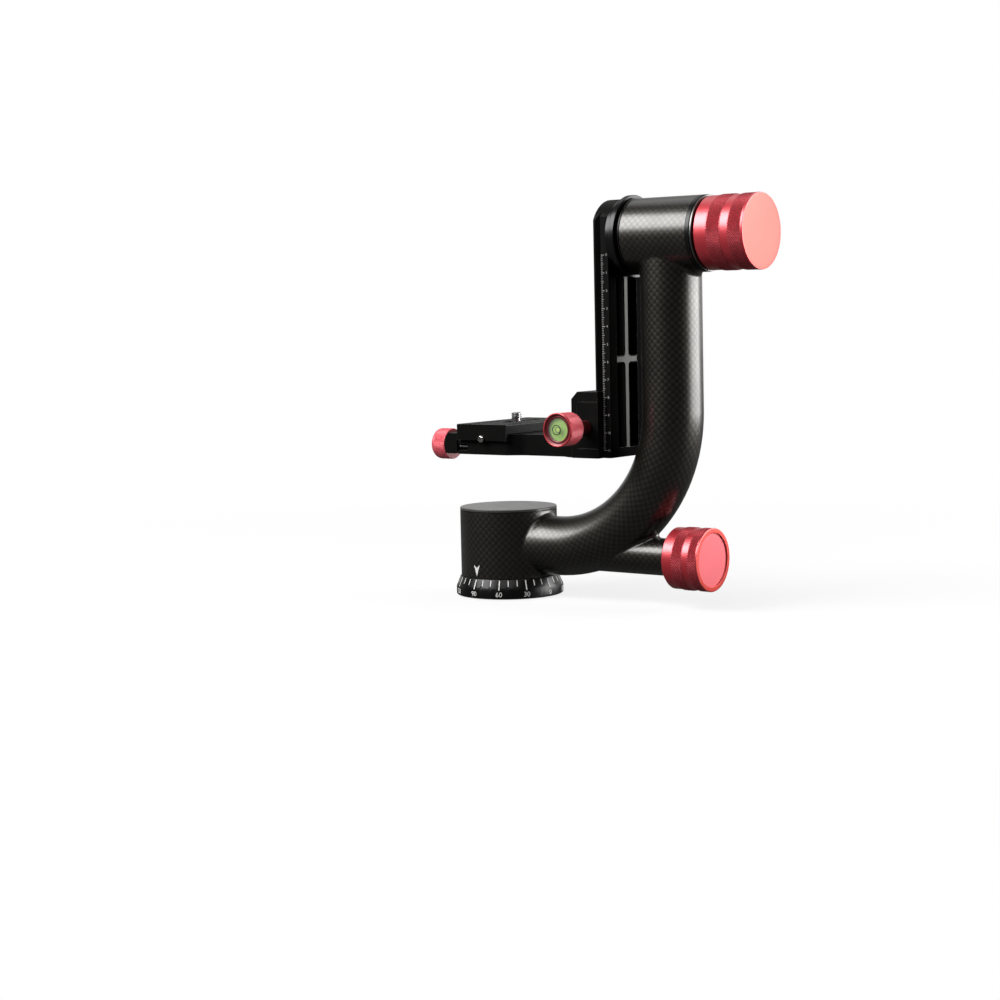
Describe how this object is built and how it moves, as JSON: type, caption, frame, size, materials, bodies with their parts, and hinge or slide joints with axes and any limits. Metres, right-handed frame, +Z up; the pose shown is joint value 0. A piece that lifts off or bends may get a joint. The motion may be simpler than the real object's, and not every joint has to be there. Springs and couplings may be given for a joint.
{
  "type": "gimbal tripod head",
  "caption": "Gimbal tripod head: carbon arm on a dialled panning base, tilt axis with swing rail, sliding lens platform, clamped lens plate and round red lock knobs.",
  "frame": {"origin": "on the pan axis at the foot of the dial, at the mouth of the tripod socket", "axes": "+Z up along the pan axis; +X along the tilt axis towards the tilt lock knob; +Y the way the lens points, along the lens plate"},
  "size_m": [0.2283, 0.0982, 0.2322],
  "materials": {
    "carbon_weave": "twill carbon fibre under a satin clear coat",
    "black_anodised": "fine black anodising, white engraved marks",
    "red_anodised": "red anodising, knurled and turned bands",
    "steel": "turned steel",
    "bright_steel": "polished steel",
    "brass": "turned brass",
    "brake_resin": "moulded acetal",
    "pad_rubber": "ribbed rubber strip",
    "vial_liquid": "clear green liquid",
    "vial_glass": "clear"
  },
  "bodies": {
    "base": {"base_dial": "black_anodised", "pan_spindle": "steel", "tripod_insert": "steel", "base_screws": "steel", "brake_sleeve": "brass", "spindle_washer": "steel", "spindle_nut": "steel", "pan_inner_races": "steel"},
    "arm": {"carbon_arm": "carbon_weave", "pan_core": "black_anodised", "pan_outer_races": "steel", "pan_bearing_balls": "bright_steel", "pan_cap": "black_anodised", "lock_bush": "black_anodised", "tilt_core": "black_anodised", "tilt_outer_races": "steel", "tilt_bearing_balls": "bright_steel", "tilt_end_ring": "black_anodised"},
    "pan_brake": {"brake_shoe": "brake_resin"},
    "pan_knob": {"pan_lock_knob": "red_anodised", "pan_knob_disc": "red_anodised", "pan_lock_rod": "steel"},
    "swing": {"swing_rail": "black_anodised", "tilt_hub": "black_anodised", "tilt_shaft": "steel", "hub_screws": "steel", "tilt_inner_races": "steel", "tilt_spacer": "steel", "tilt_nut": "steel", "rail_stop_screw": "steel"},
    "tilt_brake": {"friction_ring": "bright_steel"},
    "tilt_knob": {"tilt_lock_knob": "red_anodised", "tilt_knob_insert": "brass"},
    "carriage": {"carriage_block": "black_anodised", "lens_platform": "black_anodised", "platform_screws": "steel", "rail_guide_pins": "steel", "lens_guide_rods": "steel", "rail_clamp_spring": "steel", "lens_clamp_spring": "steel"},
    "rail_jaw": {"rail_jaw": "black_anodised"},
    "level_knob": {"level_knob": "red_anodised", "rail_clamp_screw": "steel", "level_glass": "vial_glass", "level_vial": "vial_liquid"},
    "lens_jaw": {"lens_jaw": "black_anodised"},
    "lens_knob": {"lens_clamp_knob": "red_anodised", "lens_clamp_screw": "steel"},
    "lens_plate": {"lens_plate": "black_anodised", "plate_pads": "pad_rubber", "plate_stop_screws": "bright_steel"},
    "screw_keeper": {"screw_keeper": "steel"},
    "camera_screw": {"camera_screw": "steel"}
  },
  "joints": [
    {"name": "pan", "type": "hinge", "parent": "base", "child": "arm", "pos_m": [0, 0, 0], "axis": [0, 0, 1], "continuous": true},
    {"name": "pan_brake_slide", "type": "slide", "parent": "arm", "child": "pan_brake", "axis": [1, 0, 0], "range_m": [-0.00025, 0.001]},
    {"name": "pan_knob_turn", "type": "hinge", "parent": "pan_brake", "child": "pan_knob", "pos_m": [0.12, 0, 0.0277], "axis": [1, 0, 0], "range_deg": [-90, 360]},
    {"name": "tilt", "type": "hinge", "parent": "arm", "child": "swing", "pos_m": [0.11, 0, 0.209], "axis": [1, 0, 0], "continuous": true},
    {"name": "tilt_brake_slide", "type": "slide", "parent": "swing", "child": "tilt_brake", "axis": [1, 0, 0], "range_m": [-0.00025, 0.001]},
    {"name": "tilt_knob_turn", "type": "hinge", "parent": "tilt_brake", "child": "tilt_knob", "pos_m": [0.145, 0, 0.209], "axis": [1, 0, 0], "range_deg": [-90, 360]},
    {"name": "carriage_slide", "type": "slide", "parent": "swing", "child": "carriage", "axis": [0, 0, 1], "range_m": [0, 0.08]},
    {"name": "rail_jaw_slide", "type": "slide", "parent": "carriage", "child": "rail_jaw", "axis": [0, -1, 0], "range_m": [0, 0.0023]},
    {"name": "level_knob_turn", "type": "hinge", "parent": "rail_jaw", "child": "level_knob", "pos_m": [0.074, -0.03, 0.1023], "axis": [0, -1, 0], "range_deg": [0, 720]},
    {"name": "lens_jaw_slide", "type": "slide", "parent": "carriage", "child": "lens_jaw", "axis": [-1, 0, 0], "range_m": [0, 0.0029]},
    {"name": "lens_knob_turn", "type": "hinge", "parent": "lens_jaw", "child": "lens_knob", "pos_m": [-0.035, 0, 0.08865], "axis": [-1, 0, 0], "range_deg": [0, 900]},
    {"name": "lens_plate_slide", "type": "slide", "parent": "carriage", "child": "lens_plate", "axis": [0, 1, 0], "range_m": [-0.018, 0]},
    {"name": "screw_keeper_slide", "type": "slide", "parent": "lens_plate", "child": "screw_keeper", "axis": [0, 1, 0], "range_m": [-0.01, 0.02]},
    {"name": "camera_screw_turn", "type": "hinge", "parent": "screw_keeper", "child": "camera_screw", "pos_m": [0, 0.01, 0.1], "axis": [0, 0, 1], "continuous": true}
  ],
  "couplings": [
    {"joint": "pan_brake_slide", "follows": "pan_knob_turn", "m_per_rad": 0.00015915},
    {"joint": "tilt_brake_slide", "follows": "tilt_knob_turn", "m_per_rad": 0.00015915},
    {"joint": "rail_jaw_slide", "follows": "level_knob_turn", "m_per_rad": 0.00015915},
    {"joint": "lens_jaw_slide", "follows": "lens_knob_turn", "m_per_rad": 0.00015915}
  ]
}
